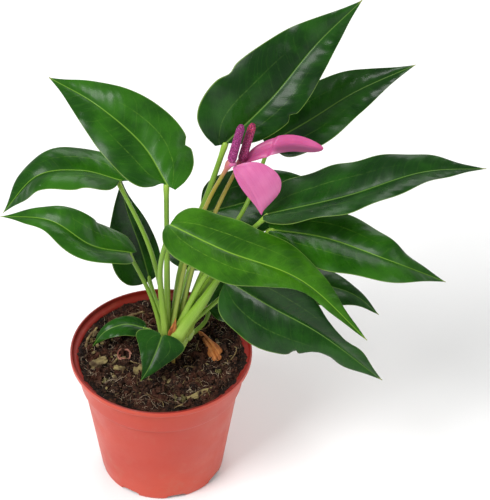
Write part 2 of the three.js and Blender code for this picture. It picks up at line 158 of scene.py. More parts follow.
# Leaves, measured from the centre of the crown's top.
#   rib    midrib points, from the petiole joint to the tip
#   half   half widths left and right of the midrib, seen tip up
#   face   the way the upper side faces;  fold  degrees that the halves rise
#   lobes  length of the lobes behind the joint;  slant  how far the left lobe leads
#   arch   how much each half rounds over;  wave  height of the ripples along the margin
#   nicks  dips in the margin: (side, 1 for left, place along, depth, width)
#   margin, right_margin  the outline, and the right half's own outline
#   stem   petiole radius;  flare  how much thicker the petiole is at its root
#   sheath, knuckle  how much thicker it is over its lower part, and just under the blade
LEAF_DEFAULTS = dict(tone="dark", lobes=1, slant=0, arch=0.14, wave=0.8, margin=LEAF_MARGIN)
LEAVES = [
    dict(name="upper_left", tone="mid", root=("inner", 3), bend=[(-3.7, 4, 60)],
         rib=[(-3, 9, 117), (-20, 28, 135), (-49, 44, 153), (-80, 66, 157)],
         half=(24.5, 26), face=(0.4, -0.75, 0.5), fold=8, slant=4, nicks=((-1, 0.16, 0.12, 0.02),),
         arch=0.16, wave=0.9, stem=2.0, flare=0.9),
    dict(name="left_arching", tone="mid", root=("inner", 2), bend=[(-15, 14, 60)],
         rib=[(-35, 38, 97), (-60, 41, 102), (-88, 37, 100), (-111, 33, 72)],
         half=(23, 20), face=(0.4, 0, 0.9), fold=9, lobes=3, slant=3,
         arch=0.2, wave=0.7, stem=1.7, flare=0.8),
    dict(name="left_lower", tone="mid", root=("outer", 6), bend=[(-15, -2, 36)],
         rib=[(-26, -3, 71), (-50, -16, 88), (-76, -8, 101), (-109, 6, 92)],
         half=(16.5, 18), face=(0, -0.2, 1), fold=14, slant=4, arch=0.22, stem=1.5, flare=0.5),
    dict(name="left_upright", root=(-6.6, 6.4, 1.8), bend=[(-12, 21, 8)],
         rib=[(-17, 34, 17), (-23, 42, 37), (-32, 46, 68), (-34.5, 46, 91)],
         half=(25, 12), face=(0.6, -0.8, 0.1), fold=8, lobes=2,
         arch=0.1, wave=0.6, stem=1.5, flare=0.3),
    dict(name="top_centre", root=("inner", 1), bend=[(6, 12, 50), (24, 24, 106)],
         rib=[(32, 30, 134), (61, 36, 166), (87.5, 54, 194), (115, 56, 227)],
         half=(33.5, 18), face=(0.3, -0.6, 0.75), fold=12, slant=-4,
         nicks=((-1, 0.34, 0.16, 0.016), (1, 0.3, 0.07, 0.04)), right_margin=WEDGE_LEAF_MARGIN,
         arch=0.18, wave=1.2, stem=2.3, flare=0.6),
    dict(name="top_back", root=("outer", 1), bend=[(22, 11, 52), (45, 19, 90)],
         rib=[(60, 48, 121), (85, 58, 132), (115, 70, 147), (152, 74, 166)],
         half=(22, 20), face=(-0.5, -0.6, 0.6), fold=6, lobes=0, slant=-2, stem=1.7, flare=0.9),
    dict(name="right_long", root=("inner", 5), bend=[(24, -1, 56)],
         rib=[(59, 4, 99), (109, 3, 116), (155, 9, 131), (197, 24, 123)],
         half=(26, 23), face=(0.4, 0, 0.9), fold=14, lobes=2,
         arch=0.12, wave=0.9, stem=1.9, flare=0.8),
    dict(name="back_flower", root=("outer", 2), bend=[(12, 18, 40)],
         rib=[(22, 33, 76), (45, 43, 76), (70, 52, 80), (96, 64, 78)],
         half=(23, 29), face=(-0.1, -0.4, 0.9), fold=14, lobes=4, arch=0.2, stem=1.6, flare=0.5),
    dict(name="front_large", tone="light", root=("outer", 7), bend=[(-7.6, -7, 60)],
         rib=[(-1, -10, 101), (34, -25, 93), (82, -36, 79), (123, -60, 52)],
         half=(23, 22), face=(0.35, -0.4, 0.85), fold=3, slant=1,
         nicks=((-1, 0.68, 0.52, 0.2), (1, 0.8, 0.2, 0.12)),
         arch=0.12, wave=1.1, stem=2.0, flare=0.4),
    dict(name="right_lower", tone="mid", root=("outer", 0), bend=[(30, 6, 50)],
         rib=[(63.5, 4, 86.5), (98, 4, 80), (137, -14, 78), (175, -4, 52)],
         half=(20, 26), face=(0, -0.3, 0.95), fold=8, lobes=3,
         arch=0.16, wave=1.0, stem=2.3, flare=1.0, sheath=0.5, knuckle=0.8),
    dict(name="right_hidden", root=("outer", 10), bend=[(28, 2, 26)],
         rib=[(59, 11, 54), (81, 9, 42), (115, 5, 33), (134, 0, 19)],
         half=(15, 23), face=(0, -0.1, 1), fold=2, lobes=2, slant=3, stem=1.6, flare=0.6),
    dict(name="front_drooping", root=("outer", 9), bend=[(20, -3, 31), (30, -4, 51)],
         rib=[(35, -11, 56), (62.5, -28, 50), (96, -42, 38.5), (135, -48, 6)],
         half=(31, 29), face=(-0.5, -0.8, 0.3), fold=8, lobes=0, slant=1,
         nicks=((-1, 0.5, 0.16, 0.02), (-1, 0.64, 0.42, 0.11), (1, 0.62, 0.58, 0.16)),
         arch=0.16, wave=1.1, stem=2.2, flare=0.7, sheath=0.9),
    dict(name="low_right", root=(8.6, 3.3, -8), bend=[(20, 12, -2)],
         rib=[(23, 17, 8), (40, 24, 12), (57, 28, 12), (72, 32, 8)],
         half=(17, 17), face=(0, -0.4, 0.9), fold=6, wave=0.5, stem=1.4, flare=0.2),
    dict(name="back_low", root=("outer", 3), bend=[(5, 24, 14)],
         rib=[(9, 42, 19), (13, 58, 27), (19, 74, 29), (26, 92, 24)],
         half=(18, 18), face=(0, -0.3, 0.9), fold=8, wave=0.5, stem=1.4, flare=0.3),
    dict(name="small_left", root=(-8.9, 2.6, -9), bend=[(-14, 4, -4)],
         rib=[(-19, 5, -1), (-32, 7, 0), (-45, 4, -4), (-54, 3, -17)],
         half=(9, 6), face=(0.1, -0.3, 1), fold=4, arch=0.1, wave=0.3, stem=1.2, flare=0.2),
    dict(name="small_front", root=(-4.6, -8.1, -9), bend=[(-6, -11, 0)],
         rib=[(-7, -14, 9), (-10, -19, 2), (-15, -28, -6), (-20, -34, -12)],
         half=(16.5, 16.5), face=(0, -0.9, 0.3), fold=4, lobes=2, margin=SMALL_LEAF_MARGIN,
         arch=0.1, wave=0.4, stem=1.2, flare=0.2),
]

# Flowers, measured as the leaves are. crease: a step across the spathe (place along, slant,
# height), from which the far part slopes back to its tip.
FLOWERS = [
    dict(name="front_flower", root=("inner", 4), bend=[(9, 5, 60), (22, 8, 104)], knuckle=1.0,
         spadix=[(36.6, 6, 139), (39.6, 6, 153.5), (42.7, 6, 167.5)],
         spathe=[(38.6, 5.0, 136.2), (45.4, 2, 127.6), (51.6, 0, 116), (56, -2, 103.5)],
         half=(19.5, 4.6), face=(0.1, -0.95, 0.35), fold=7, arch=0.15, wave=0.2,
         margin=FRONT_SPATHE_MARGIN, right_margin=FRONT_SPATHE_EDGE),
    dict(name="back_flower", root=("inner", 0), bend=[(15, 7, 60), (30, 12, 102)], knuckle=1.0,
         spadix=[(43, 11.4, 135.5), (46.3, 11.8, 150), (49.6, 12, 164)],
         spathe=[(42.6, 11.6, 133.5), (55.5, 13.4, 142.6), (73, 15, 147), (93.5, 14, 144.5)],
         half=(5.3, 6.8), face=(0, -0.5, 0.86), fold=16, arch=0.2, wave=0.3,
         crease=(0.42, 0.07, 2.0), margin=BACK_SPATHE_MARGIN),
]
PEDUNCLE_RADIUS = 1.6
SPADIX_RADIUS = 2.8
BERRY_TURNS = 11
BERRY_RINGS = 26

CATAPHYLL = dict(rib=[(-0.5, -8.6, 0.4), (-0.3, -9.2, 8), (1.2, -9.6, 15), (2.2, -9.9, 22)],
                 half=(2.8, 2.6), face=(0, -1, 0), fold=-6, arch=0.35, wave=0.2)
# The fallen bract's rib: (x, y, height above the mix).
BRACT_RIB = [(24, 24, 1.6), (29, 14, 3.4), (34, 5, 3.0), (38, -4, 1.6)]
BRACT = dict(half=(5.4, 4.8), face=(-0.35, -0.3, 0.9), fold=-20, arch=0.5, wave=1.1, shift=1.3,
             nicks=((1, 0.88, 0.4, 0.05), (-1, 0.55, 0.3, 0.04)))

# Blades: least width at the joint, part of the midrib that the lobes take up, half width of
# the hollow over the midrib, length of a ripple, width of a crease, distance of side veins.
LEAST_EDGE = 0.012
LOBE_PART = 0.25
RIB_HOLLOW = 1.2
RIPPLE_LENGTH = 34
CREASE_WIDTH = 0.012
VEIN_SPACING = 8.5
# Millimetres along and across a blade for 1 in its UV map.
BLADE_UNIT = 100
# In metres: shorter edges are merged where the drain slots are cut.
SMALLEST_EDGE = 2e-6
# The middle range of a noise, from which most patches of colour and roughness are made.
PATCHES = (0.3, 0.7)

random = np.random.default_rng(12)


# ---- curves and meshes
def unit(vectors):
    return vectors / np.linalg.norm(vectors, axis=-1, keepdims=True)


def catmull_rom(points, at):
    """Points at parts 0..1 of a smooth curve through the given points."""
    points = np.asarray(points, float)
    spans = len(points) - 1
    place = np.clip(np.asarray(at, float), 0, 1) * spans
    first = np.minimum(place.astype(int), spans - 1)
    f = (place - first)[:, None]
    ends = np.vstack([2 * points[0] - points[1], points, 2 * points[-1] - points[-2]])
    a, b, c, d = (ends[first + i] for i in range(4))
    line = 2 * b + (c - a) * f
    bend = (2 * a - 5 * b + 4 * c - d) * f ** 2 + (-a + 3 * b - 3 * c + d) * f ** 3
    return 0.5 * (line + bend)


class Curve:
    """A smooth curve through points, measured by its length."""

    def __init__(self, points):
        self.points = catmull_rom(points, np.linspace(0, 1, 301))
        steps = np.linalg.norm(np.diff(self.points, axis=0), axis=1)
        distance = np.concatenate([[0], np.cumsum(steps)])
        self.length = distance[-1]
        self.part = distance / self.length

    def at(self, part):
        part = np.asarray(part, float)
        inside = np.clip(part, 0, 1)
        place = np.stack([np.interp(inside, self.part, self.points[:, i]) for i in range(3)], -1)
        before = np.minimum(part, 0)[..., None] * self.length
        return place + before * unit(self.points[3] - self.points[0])

    def tangent(self, part):
        part = np.clip(part, 0, 1)
        return unit(self.at(np.minimum(part + 0.01, 1)) - self.at(np.maximum(part - 0.01, 0)))


def add_mesh(name, vertices, faces):
    """A mesh object from millimetre vertices."""
    mesh = bpy.data.meshes.new(name)
    mesh.from_pydata((np.asarray(vertices, float) * MM).tolist(), [], faces)
    return add_object(name, mesh)


def make_piece(name, vertices, faces, materials, slot, replaces=(), indices=None, uvs=None,
               sharp_angle=60):
    """A piece from millimetre vertices. uvs: {layer: one (u, v) per vertex}."""
    piece = add_mesh(name, vertices, faces)
    mesh = piece.data
    for material in materials:
        mesh.materials.append(material)
    if indices is not None:
        mesh.polygons.foreach_set("material_index", np.asarray(indices, dtype=np.int32))
    corners = np.empty(len(mesh.loops), dtype=np.int32)
    mesh.loops.foreach_get("vertex_index", corners)
    for layer, coordinates in (uvs or {}).items():
        data = mesh.uv_layers.new(name=layer)
        data.data.foreach_set("uv", np.asarray(coordinates, float)[corners].ravel())
    mesh.polygons.foreach_set("use_smooth", np.ones(len(mesh.polygons), dtype=bool))
    mesh.set_sharp_from_angle(angle=math.radians(sharp_angle))
    mesh.validate()
    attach(piece, "root")
    if replaces:
        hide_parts(*replaces)
    return piece


def make_detail(node, vertices, faces, materials, slot, **rest):
    """The fine piece that stands in for one CAD node."""
    return make_piece(f"{node}_detail", vertices, faces, materials, slot, [node], **rest)


def grid_faces(rows, columns, start=0, closed=False, flip=False):
    """Quads over a grid of rows x columns vertices."""
    last = columns if closed else columns - 1
    faces = []
    for i in range(rows - 1):
        for j in range(last):
            a = start + i * columns + j
            b = start + i * columns + (j + 1) % columns
            quad = (a, b, b + columns, a + columns)
            faces.append(quad[::-1] if flip else quad)
    return faces


def sheet_faces(rows, columns):
    """Faces of an upper and a lower grid, then of the rim that joins them."""
    count = rows * columns
    end = columns - 1
    last = count - columns
    edges = []
    for a in range(0, last, columns):
        edges += [(a + columns, a), (a + end, a + columns + end)]
    for j in range(end):
        edges += [(j, j + 1), (last + j + 1, last + j)]
    rim = [(a, b, b + count, a + count) for a, b in edges]
    return grid_faces(rows, columns, flip=True) + grid_faces(rows, columns, count) + rim


def tube_geometry(curve, radius_at, sides, steps, section=np.ones_like):
    """Rings round a curve with rounded ends, and their (along, around) from 0 to 1.

    radius_at takes parts 0..1 of the curve, and section takes angles round it.
    """
    parts = np.linspace(0, 1, steps + 1)
    centres = curve.at(parts)
    tangents = curve.tangent(parts)
    radii = radius_at(parts)
    angles = np.linspace(0, 2 * math.pi, sides, endpoint=False)
    cosines, sines = np.cos(angles)[:, None], np.sin(angles)[:, None]
    shape = section(angles)[:, None]
    normal = unit(np.cross(tangents[0], (0.3, 0.9, 0.1)))
    rings = []
    for centre, tangent, radius in zip(centres, tangents, radii):
        normal = unit(normal - tangent * np.dot(normal, tangent))
        across = np.cross(tangent, normal)
        rings.append(centre + radius * shape * (cosines * normal + sines * across))
    first_cap = centres[0] - tangents[0] * radii[0] * 0.5
    last_cap = centres[-1] + tangents[-1] * radii[-1] * 0.5
    faces = grid_faces(steps + 1, sides, closed=True)
    top = steps * sides
    low = top + sides
    for j in range(sides):
        after = (j + 1) % sides
        faces += [(low, after, j), (low + 1, top + j, top + after)]
    along = np.concatenate([np.repeat(parts, sides), [0, 1]])
    around = np.concatenate([np.tile(angles / (2 * math.pi), steps + 1), [0, 0]])
    return np.vstack(rings + [first_cap, last_cap]), faces, np.stack([along, around], -1)


def from_crown(points):
    """Points measured from the centre of the crown's top, in the part's frame."""
    return CROWN + np.array(points, float)


def soil_height(radius):
    """Height of the even mix surface at a distance from the pot's axis."""
    return SOIL_TOP + SOIL_DOME * np.interp(radius, (0, 18.6, 32, 53.3), (1, 1, 0.8, 0))


# ---- material nodes
def srgb(red, green, blue):
    """A colour given as 0..255 in sRGB, as Blender's linear colour."""
    values = []
    for part in (red / 255, green / 255, blue / 255):
        values.append(part / 12.92 if part < 0.04045 else ((part + 0.055) / 1.055) ** 2.4)
    return (*values, 1)


class Shader:
    """A material, the colour mixed for it so far, and short ways to add nodes to it."""

    def __init__(self, name, colour, **constants):
        self.material = bpy.data.materials.new(name)
        self.material.use_nodes = True
        self.tree = self.material.node_tree
        self.surface = self.tree.nodes["Principled BSDF"]
        for socket, number in constants.items():
            self.surface.inputs[socket.replace("_", " ")].default_value = number
        self.place = self.node("TexCoord", (), "Object")
        self.colour = colour

    def feed(self, socket, value):
        if isinstance(value, bpy.types.NodeSocket):
            self.tree.links.new(value, socket)
        else:
            socket.default_value = value

    def node(self, kind, inputs, output=0, **settings):
        """Adds a node, feeds its inputs in turn or by name, and gives one output or all."""
        node = self.tree.nodes.new(f"ShaderNode{kind}")
        for name, setting in settings.items():
            setattr(node, name, setting)
        for key, value in inputs.items() if isinstance(inputs, dict) else enumerate(inputs):
            self.feed(node.inputs[key], value)
        return node.outputs if output is None else node.outputs[output]

    def stretched(self, *stretch):
        """The point on the object, in metres, stretched along its axes."""
        return self.node("VectorMath", (self.place, stretch), operation="MULTIPLY")

    def map(self, layer):
        """The two coordinates of a UV layer."""
        return self.axes(self.node("UVMap", (), uv_map=layer))[:2]

    def axes(self, vector):
        return self.node("SeparateXYZ", (vector,), None)

    def noise(self, scale, detail=3.0, roughness=0.5, at=None):
        inputs = {"Vector": self.place if at is None else at, "Scale": scale, "Detail": detail,
                  "Roughness": roughness}
        return self.node("TexNoise", inputs)

    def lines(self, along, across, x, y, scale=1.0, detail=3):
        """Noise drawn out into lines: x across and y along their length say how much."""
        place = self.node("CombineXYZ", (self.times(along, x), self.times(across, y)))
        return self.noise(scale, detail, at=place)

    def cells(self, scale):
        return self.node("TexVoronoi", {"Vector": self.place, "Scale": scale}, None)

    def dots(self, scale, inner, outer, low, high):
        """Round dots in those cells whose random number lies past low..high."""
        cells = self.cells(scale)
        chosen = self.span(self.axes(cells[1])[0], low, high)
        return self.times(self.span(cells[0], inner, outer, 1, 0), chosen)

    def math(self, operation, *values):
        return self.node("Math", values, operation=operation)

    def times(self, first, second):
        return self.math("MULTIPLY", first, second)

    def span(self, value, low, high, start=0.0, end=1.0):
        """value mapped smoothly from low..high to start..end, and held past them."""
        return self.node("MapRange", (value, low, high, start, end),
                         interpolation_type="SMOOTHSTEP")

    def cover(self, colour, factor):
        inputs = {0: factor, 6: self.colour, 7: colour}
        self.colour = self.node("Mix", inputs, 2, data_type="RGBA")

    def tint(self, colour, value, low, high, end=1.0, start=0.0):
        """Covers with a colour as value goes from low to high: start at low, end at high."""
        self.cover(colour, self.span(value, low, high, start, end))

    def ramp(self, value, *stops):
        """Colours the surface by stops, each (position, colour)."""
        self.colour = self.node("ValToRGB", (value,))
        elements = self.colour.node.color_ramp.elements
        while len(elements) < len(stops):
            elements.new(0.5)
        for element, (position, colour) in zip(elements, stops):
            element.position = position
            element.color = colour

    def bump(self, height, distance, strength=1.0, under=None):
        """A bump of the given height in millimetres, over the normal under it."""
        inputs = {"Distance": distance * MM, "Strength": strength, "Height": height}
        if under is not None:
            inputs["Normal"] = under
        return self.node("Bump", inputs)

    def finish(self, patches, smooth, rough, normal):
        """Sets the colour, the normal, and a roughness that goes with the patches."""
        roughness = self.span(patches, *PATCHES, smooth, rough)
        for name, value in (("Base Color", self.colour), ("Roughness", roughness),
                            ("Normal", normal)):
            self.feed(self.surface.inputs[name], value)
        return self.material


# ---- leaf materials
# Dark and light patches, and the midrib.
LEAF_TONES = {
    "dark": (srgb(12, 46, 8), srgb(30, 76, 14), srgb(92, 128, 52)),
    "mid": (srgb(22, 64, 8), srgb(44, 98, 14), srgb(112, 154, 52)),
    "light": (srgb(34, 78, 8), srgb(62, 118, 16), srgb(128, 172, 54)),
}


def leaf_top_material(tone):
    """Upper side of a leaf: waxy deep green with a pale midrib and faint side veins."""
    dark, light, pale = LEAF_TONES[tone]
    s = Shader(f"leaf_top_{tone}", dark, Coat_Weight=0.07, Coat_Roughness=0.14, IOR=1.25)
    phase, side = s.map("veins")
    part = s.map("part")[0]
    away = s.math("ABSOLUTE", s.map("blade")[1])

    s.tint(light, s.noise(38, 4, 0.55), 0.35, 0.68)
    s.tint(light, s.lines(phase, away, 4.5, 5, scale=1.6), 0.5, 0.75, 0.35)
    s.tint(dark, s.noise(1400, 2, 0.6), 0.45, 0.75, 0.28)

    strays = s.times(s.noise(60, 2), 0.9)
    ripple = s.math("PINGPONG", s.math("ADD", phase, strays), 0.5)
    broken = s.span(s.noise(420, 2), 0.38, 0.58, 0.25, 1)
    vein = s.times(s.span(ripple, 0.0, 0.045, 1, 0), broken)
    s.cover(pale, s.times(vein, 0.1))
    s.tint(light, away, 0.0, 0.04, 0, 0.3)
    course = s.math("MULTIPLY_ADD", part, -0.12, 0.5)
    basal = s.span(s.math("ABSOLUTE", s.math("SUBTRACT", side, course)), 0.0, 0.018, 1, 0)
    basal = s.times(basal, s.span(part, 0.25, 0.7, 0.4, 0))
    s.cover(pale, s.times(basal, broken))
    rib_width = s.math("MULTIPLY_ADD", part, -0.0034, 0.0056)
    s.tint(pale, s.math("SUBTRACT", away, rib_width), -0.0022, 0.0012, 0, 0.85)
    s.tint(srgb(112, 142, 62), side, 0.97, 0.992, 0.75)
    s.tint(srgb(150, 150, 70), part, 0.965, 1.0, 0.7)
    s.cover(srgb(176, 190, 168), s.times(s.dots(105, 0.022, 0.042, 0.62, 0.66), 0.6))

    skin = s.bump(s.noise(900, 3, 0.6), 0.05, 0.55)
    normal = s.bump(s.times(vein, -1.0), 0.05, 0.5, skin)
    return s.finish(s.noise(70, 4, 0.6), 0.24, 0.37, normal)


def leaf_under_material(tone):
    """Lower side of a leaf: paler and duller, with the veins standing out."""
    dark, light, _ = LEAF_TONES[tone]
    s = Shader(f"leaf_under_{tone}", light, IOR=1.42)
    s.tint(srgb(104, 140, 70), s.noise(45, 4), *PATCHES, 0.65, 0.35)
    s.tint(dark, s.noise(900, 2), 0.4, 0.7, 0.3)
    vein = s.span(s.math("PINGPONG", s.map("veins")[0], 0.5), 0.0, 0.06, 0.55, 0)
    s.cover(srgb(138, 166, 88), vein)
    s.tint(srgb(150, 176, 92), s.math("ABSOLUTE", s.map("blade")[1]), 0.008, 0.016, 0, 0.9)
    normal = s.bump(vein, 0.15, 0.7, s.bump(s.noise(800, 3), 0.05, 0.6))
    return s.finish(s.noise(90, 3), 0.46, 0.6, normal)


def stem_material(name, base, middle, top, joint):
    """A petiole or peduncle: fine ribs run along it, and its colour changes to its top."""
    s = Shader(name, base, IOR=1.42, Coat_Weight=0.08, Coat_Roughness=0.3)
    along, around = s.map("tube")
    s.ramp(along, (0.0, base), (0.3, middle), (0.9, top), (0.985, joint))
    ribs = s.lines(along, around, 2.0, 40, detail=2)
    s.tint(base, ribs, 0.42, 0.68, 0.3)
    patches = s.noise(120, 4)
    s.tint(middle, patches, 0.5, 0.72, 0.4)
    s.tint(srgb(104, 104, 52), s.noise(900, 2), 0.66, 0.74, 0.45)
    normal = s.bump(ribs, 0.15, 0.7, s.bump(s.noise(1500, 2), 0.03, 0.5))
    return s.finish(patches, 0.34, 0.5, normal)


# ---- blades and stems
def blade_geometry(spec, margin, rows, columns, thick, ridge=1.0, pucker=0.13, origin=CROWN):
    """Upper and lower sheets of a leaf, spathe or sheath, joined round the margin."""
    rib = Curve(np.array(spec["rib"], float) + origin)
    length = rib.length
    row = np.linspace(0, 1, rows + 1)[:, None]
    spread = np.linspace(-1, 1, columns + 1)[None, :]
    across = np.sign(spread) * np.abs(spread) ** 1.45
    side = np.abs(across)
    on_left = across > 0
    left_edge, right_edge = (catmull_rom([(x, y, 0) for x, y in points], row[:, 0])
                             for points in (margin, spec.get("right_margin", margin)))
    edge_along, edge_width = (np.where(on_left, left_edge[:, k:k + 1], right_edge[:, k:k + 1])
                              for k in (0, 1))
    edge_width = np.maximum(edge_width, LEAST_EDGE)
    behind = spec.get("lobes", 0) / length * np.maximum(0, 1 - row / LOBE_PART) * side
    ahead = spec.get("slant", 0) / length * (1 - row) * across
    along = row ** 1.15 * (1 - side) + edge_along * side - behind + ahead
    half = np.where(on_left, *spec["half"]) * np.ones_like(along)
    for nick_side, nick_at, nick_depth, nick_width in spec.get("nicks", ()):
        near = np.exp(-((along - nick_at) / nick_width) ** 2) * side ** 2
        half = half * (1 - nick_depth * near * (np.sign(across) == nick_side))
    facing = unit(np.array(spec["face"], float))
    tangent = rib.tangent(along)
    normal = unit(facing - tangent * (tangent @ facing)[..., None])
    left = np.cross(normal, tangent)
    fold = math.radians(spec["fold"])
    reach = across * edge_width * half
    distance = np.abs(reach)
    along_mm = along * length

    height = math.sin(fold) * (np.sqrt(distance ** 2 + RIB_HOLLOW ** 2) - RIB_HOLLOW)
    height = height + spec["arch"] * half * edge_width * 2.2 * side * (1 - side)
    shift = spec.get("shift", 0.0)
    lag = np.where(on_left, 0.0, 2.1)
    ripples = np.sin(along_mm * 2 * math.pi / RIPPLE_LENGTH + shift + lag)
    height = height + spec.get("wave", 0) * ripples * side ** 2 * np.minimum(1, edge_width * 2)
    if "crease" in spec:
        crease_at, crease_slant, crease_height = spec["crease"]
        past = along - crease_at - crease_slant * across
        height = height + crease_height * (0.5 + 0.5 * np.tanh(past / CREASE_WIDTH))
        height = height - crease_height * np.clip(past / (1 - crease_at), 0, 1)
    phase = (along_mm - distance * (0.5 + 0.55 * side ** 2)) / VEIN_SPACING
    drift = 0.9 * np.sin(along_mm / 19 + shift) + 0.6 * np.sin(distance / 7 + 2 * shift)
    valley = np.cos(2 * math.pi * phase + drift) + 0.6 * np.cos(3.3 * phase + 3 * drift)
    fade = np.minimum(1, distance / 5) * np.minimum(1, (1 - side) * 5)
    height = height - pucker * valley * fade
    groove = 0.3 * ridge * np.exp(-(distance / 1.5) ** 2)
    taper = np.maximum(0.15, 1 - 0.85 * np.clip(along, 0, 1))
    skin = thick / 2 * (1 - 0.55 * side ** 3)
    lower = skin + ridge * 1.1 * taper * np.exp(-(distance / (1.25 * taper + 0.2)) ** 2)
    flat = rib.at(along) + left * (reach * math.cos(fold))[..., None]
    sheets = [flat + normal * rise[..., None] for rise in (height + skin - groove, height - lower)]

    faces = sheet_faces(rows + 1, columns + 1)
    indices = np.zeros(len(faces), int)
    indices[rows * columns:2 * rows * columns] = 1
    maps = {"blade": np.stack([along_mm, reach], -1) / BLADE_UNIT,
            "veins": np.stack([phase, side * np.ones_like(phase)], -1),
            "part": np.stack([along, across * np.ones_like(along)], -1)}
    uvs = {name: np.vstack([part.reshape(-1, 2)] * 2) for name, part in maps.items()}
    vertices = np.vstack([sheet.reshape(-1, 3) for sheet in sheets])
    joint = rib.at(0.0) + rib.tangent(0.0) * 1.2 - normal[0, columns // 2] * 0.9
    return vertices, faces, indices, uvs, joint


def make_blade(node, materials, slot, *shape, **relief):
    """A leaf, spathe or sheath; gives the point where its stem ends."""
    vertices, faces, indices, uvs, joint = blade_geometry(*shape, **relief)
    make_detail(node, vertices, faces, materials, slot, indices=indices, uvs=uvs)
    return joint


def root_point(root):
    """Where a stem leaves the crown."""
    if root[0] not in RINGS:
        return from_crown(root)
    radius, slots, turn = RINGS[root[0]]
    angle = math.radians(turn + 360 * root[1] / slots)
    return from_crown([radius * math.cos(angle), radius * math.sin(angle), 0])


def stem_curve(spec, end):
    """The way of a stem from inside the crown, up and over its bends to its end."""
    start = root_point(spec["root"])
    points = [*from_crown(spec["bend"]), end]
    if spec["root"][0] in RINGS:
        return Curve([start + (0, 0, -3), start + (0, 0, STEM_RISE)] + points)
    return Curve([start] + points)


def make_stem(node, spec, end, material, radius, flare):
    """A petiole or peduncle: thicker at its root and its joint, with a groove along it."""
    curve = stem_curve(spec, end)
    length = curve.length
    phase = random.uniform(0, 6.3)

    def thickness(part):
        distance = part * length
        root = flare * (np.exp(-(distance / 15) ** 2) + 0.35 * np.exp(-(distance / 38) ** 2))
        wing = spec.get("sheath", 0.0) * np.exp(-(distance / (0.72 * length)) ** 4)
        collar = spec.get("knuckle", 0.22) * np.exp(-((length - distance - 3) / 4) ** 2)
        uneven = 0.03 * np.sin(distance / 9 + phase)
        return radius * (1 - 0.2 * part) * (1 + root + wing + collar + uneven)

    def section(angles):
        return 1 - 0.13 * np.exp(-((angles - math.pi) / 0.55) ** 2) + 0.02 * np.cos(5 * angles)

    steps = max(24, int(length / 1.8))
    vertices, faces, uvs = tube_geometry(curve, thickness, 20, steps, section)
    make_detail(node, vertices, faces, [material], "stem_green", uvs={"tube": uvs})


def make_leaves():
    petiole = stem_material("petiole_green", srgb(160, 188, 84), srgb(126, 164, 50),
                            srgb(104, 144, 34), srgb(140, 176, 58))
    sides = {tone: [leaf_top_material(tone), leaf_under_material(tone)] for tone in LEAF_TONES}
    for leaf in LEAVES:
        spec = {**LEAF_DEFAULTS, **leaf, "shift": random.uniform(0, 6.3)}
        name = spec["name"]
        rows = max(40, int(Curve(spec["rib"]).length / 1.3))
        end = make_blade(f"leaf_{name}", sides[spec["tone"]], "leaf_green", spec,
                         spec["margin"], rows, 40, 0.5)
        make_stem(f"petiole_{name}", spec, end, petiole, spec["stem"], spec["flare"])


# ---- flowers
def spathe_material(name, light, body, line, painted_shade):
    """Waxy pink with fine lengthwise veins, paler on the midrib, redder at both ends, and painted
    shade on the lower half past the crease.
    """
    s = Shader(name, body, IOR=1.4, Coat_Weight=0.08, Coat_Roughness=0.25,
               Subsurface_Weight=0.18, Subsurface_Scale=0.002)
    along, reach = s.map("blade")
    part, across = s.map("part")
    lines = s.lines(along, reach, 6, 160)
    s.tint(light, s.noise(60, 3), *PATCHES)
    # painted shade: a darker colour over the lower half of the blade past the crease
    s.cover(painted_shade, s.times(s.span(across, 0.3, -0.7, 0, 0.8), s.span(part, 0.38, 0.48)))
    s.tint(line, lines, 0.48, 0.7, 0.32)
    s.tint(light, s.math("ABSOLUTE", reach), 0.0, 0.03, 0, 0.25)
    s.tint(line, part, 0.0, 0.16, 0, 0.5)
    s.tint(line, part, 0.9, 1.0, 0.4)
    normal = s.bump(lines, 0.12, 0.6, s.bump(s.noise(1100, 2), 0.04, 0.5))
    return s.finish(s.noise(110, 3), 0.32, 0.46, normal)


def spadix_material(name, body, crease, tip):
    """Berries with painted shade in the creases between them, and pale specks."""
    s = Shader(name, body, IOR=1.4, Subsurface_Weight=0.08, Subsurface_Scale=0.001)
    s.tint(tip, s.map("tube")[0], 0.55, 1.0)
    berries = s.cells(1250)[0]
    # painted shade: darker towards the edges of the berry cells, in the creases between the berries
    s.tint(crease, berries, 0.25, 0.65)
    s.tint(srgb(214, 132, 186), s.cells(900)[0], 0.16, 0.3, 0, 0.75)
    return s.finish(s.noise(300, 3), 0.42, 0.62, s.bump(berries, 0.25, 0.8))


def make_spadix(spec, material):
    """A tapering spike with rounded ends, covered in rows of berries."""
    curve = Curve(from_crown(spec["spadix"]))

    def thickness(part):
        ends = np.minimum(1, 0.55 + 5 * np.minimum(part, 1 - part)) ** 0.8
        return SPADIX_RADIUS * (1 - 0.16 * part) * ends

    vertices, faces, uvs = tube_geometry(curve, thickness, 66, 130)
    along, around = uvs[:, 0], uvs[:, 1] * 2 * math.pi
    rise = BERRY_RINGS * math.pi * along
    berries = np.cos(BERRY_TURNS * around + rise) * np.cos(BERRY_TURNS * around - rise)
    vertices = vertices + (vertices - curve.at(along)) * (0.085 * berries)[:, None]
    make_detail(f"spadix_{spec['name']}", vertices, faces, [material], "spadix_purple",
                uvs={"tube": uvs})


def make_receptacle(spec, material):
    """The swollen top of the peduncle, where the spadix and the spathe meet."""
    points, faces = lump(2.5, (1.15, 1.0, 0.85), 0.12)
    place = from_crown(spec["spadix"][0]) + (0.4, -0.4, -0.9)
    make_piece(f"receptacle_{spec['name']}", points + place, faces, [material], "spathe_pink",
               uvs={"blade": points[:, :2] / BLADE_UNIT, "part": points[:, :2] * 0.05})


